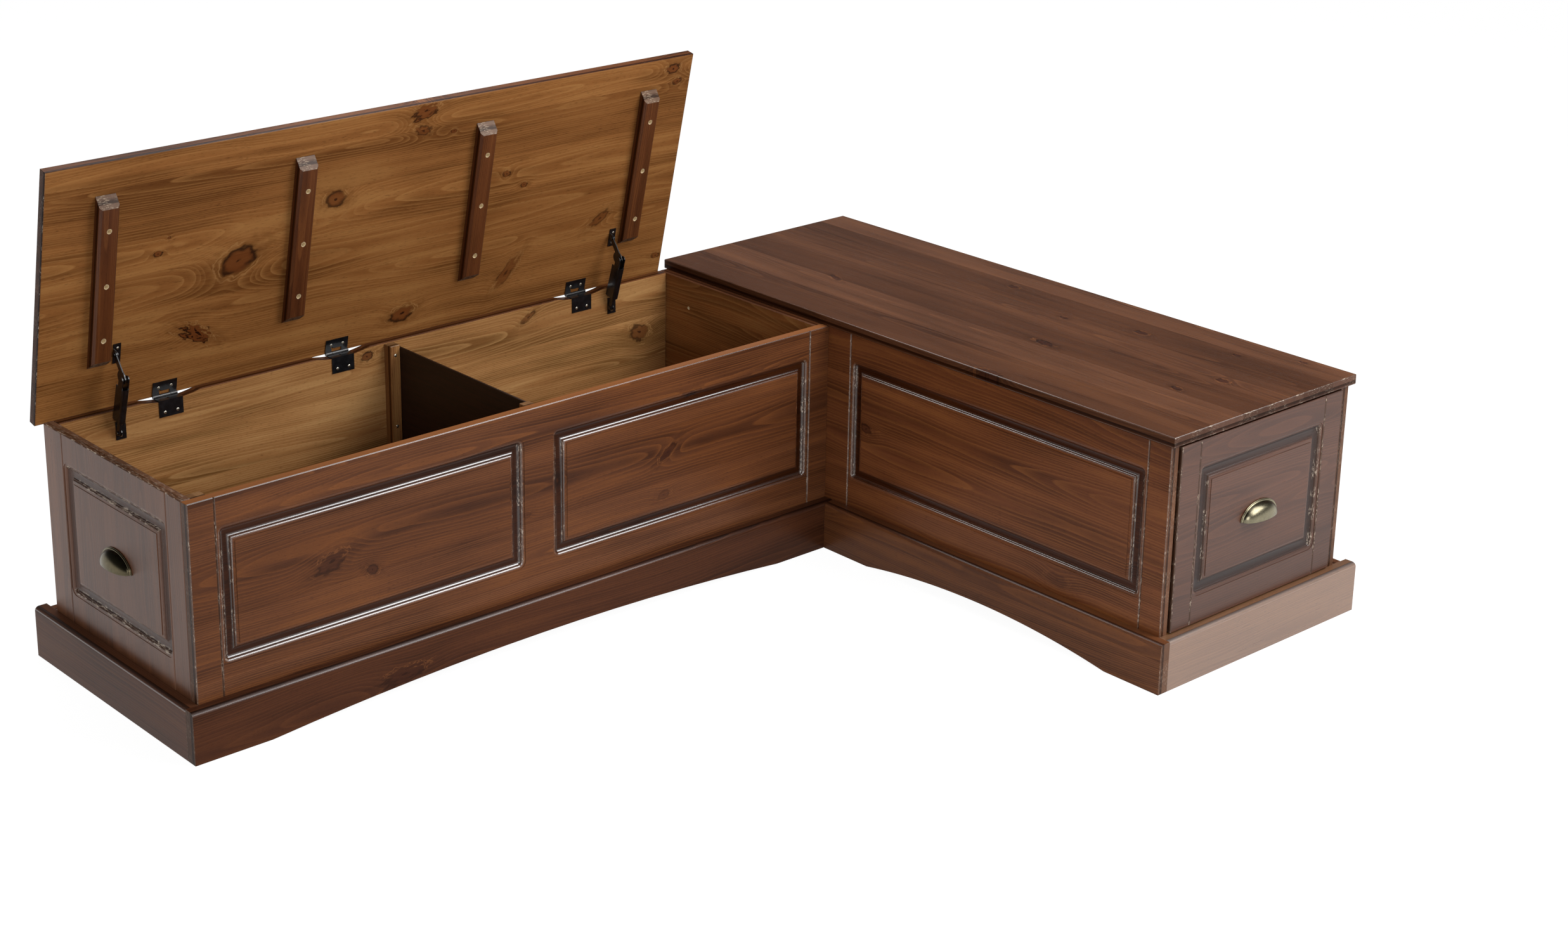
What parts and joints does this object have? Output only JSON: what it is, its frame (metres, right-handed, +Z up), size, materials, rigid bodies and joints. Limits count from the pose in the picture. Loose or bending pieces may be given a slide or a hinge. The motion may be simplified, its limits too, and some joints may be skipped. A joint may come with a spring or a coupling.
{
  "type": "corner storage bench",
  "caption": "L-shaped corner bench: a long chest with a hinged, stayed lid and a divider, and a short wing with a drawer, on arched plinths.",
  "frame": {"origin": "on the floor, under the middle of the overall box with the lid open", "axes": "+X along the chest towards the drawer wing, +Y towards the wall behind the chest, +Z up"},
  "size_m": [1.8538, 1.3048, 0.8682],
  "materials": {
    "stained_pine": "walnut-stained pine, satin lacquer",
    "inside_pine": "thinly stained pine, matt",
    "dark_pine": "dark-stained pine, satin",
    "divider_sheet": "dark-stained thin sheet, matt",
    "drawer_pine": "bare pine, matt",
    "black_steel": "gloss black",
    "hinge_pin_steel": "dark steel",
    "pewter": "antique pewter plate"
  },
  "bodies": {
    "case": {"chest_front_panel": "stained_pine", "chest_left_end_panel": "stained_pine", "chest_right_end_panel": "inside_pine", "chest_back_panel": "inside_pine", "chest_bottom_board": "inside_pine", "divider_back_batten": "dark_pine", "divider_front_batten": "dark_pine", "divider_sheet": "divider_sheet", "corner_block_front_left": "inside_pine", "front_plinth": "stained_pine", "side_plinth": "stained_pine", "left_end_plinth": "stained_pine", "drawer_end_plinth": "stained_pine", "back_base_rail": "stained_pine", "outer_base_rail": "stained_pine", "wing_inner_panel": "stained_pine", "wing_outer_panel": "stained_pine", "wing_back_panel": "stained_pine", "wing_bottom_board": "inside_pine", "wing_seat_board": "stained_pine", "drawer_runner_left": "inside_pine", "drawer_runner_right": "inside_pine", "end_cup_pull": "pewter", "hinge_box_leaf_1": "black_steel", "hinge_box_leaf_2": "black_steel", "hinge_box_leaf_3": "black_steel", "hinge_pin_1": "hinge_pin_steel", "hinge_pin_2": "hinge_pin_steel", "hinge_pin_3": "hinge_pin_steel", "stay_box_bracket_left": "black_steel", "stay_box_bracket_right": "black_steel"},
    "lid": {"chest_lid": "stained_pine", "lid_batten_1": "dark_pine", "lid_batten_2": "dark_pine", "lid_batten_3": "dark_pine", "lid_batten_4": "dark_pine", "hinge_lid_leaf_1": "black_steel", "hinge_lid_leaf_2": "black_steel", "hinge_lid_leaf_3": "black_steel", "stay_lid_bracket_left": "black_steel", "stay_lid_bracket_right": "black_steel"},
    "drawer": {"drawer_front": "stained_pine", "drawer_side_left": "drawer_pine", "drawer_side_right": "drawer_pine", "drawer_back": "drawer_pine", "drawer_bottom": "drawer_pine", "drawer_cup_pull": "pewter"},
    "stay_arm_left": {"stay_arm_left": "black_steel"},
    "stay_arm_right": {"stay_arm_right": "black_steel"},
    "stay_housing_left": {"stay_housing_left": "black_steel"},
    "stay_housing_right": {"stay_housing_right": "black_steel"}
  },
  "joints": [
    {"name": "lid_hinge", "type": "hinge", "parent": "case", "child": "lid", "pos_m": [-0.25635, 0.6162, 0.4187], "axis": [1, 0, 0], "range_deg": [0, 77.3]},
    {"name": "drawer_slide", "type": "slide", "parent": "case", "child": "drawer", "axis": [0, -1, 0], "range_m": [0, 0.46]},
    {"name": "stay_housing_left_pivot", "type": "hinge", "parent": "case", "child": "stay_housing_left", "pos_m": [-0.78335, 0.591, 0.3823], "axis": [1, 0, 0], "range_deg": [0, 77.3]},
    {"name": "stay_arm_left_pivot", "type": "hinge", "parent": "lid", "child": "stay_arm_left", "pos_m": [-0.78335, 0.58548, 0.52044], "axis": [1, 0, 0], "range_deg": [-77.3, 0]},
    {"name": "stay_housing_right_pivot", "type": "hinge", "parent": "case", "child": "stay_housing_right", "pos_m": [0.26255, 0.591, 0.3823], "axis": [1, 0, 0], "range_deg": [0, 77.3]},
    {"name": "stay_arm_right_pivot", "type": "hinge", "parent": "lid", "child": "stay_arm_right", "pos_m": [0.26255, 0.58548, 0.52044], "axis": [1, 0, 0], "range_deg": [-77.3, 0]}
  ],
  "couplings": [
    {"joint": "stay_housing_left_pivot", "follows": "lid_hinge", "ratio": 1},
    {"joint": "stay_arm_left_pivot", "follows": "lid_hinge", "ratio": -1},
    {"joint": "stay_housing_right_pivot", "follows": "lid_hinge", "ratio": 1},
    {"joint": "stay_arm_right_pivot", "follows": "lid_hinge", "ratio": -1}
  ]
}
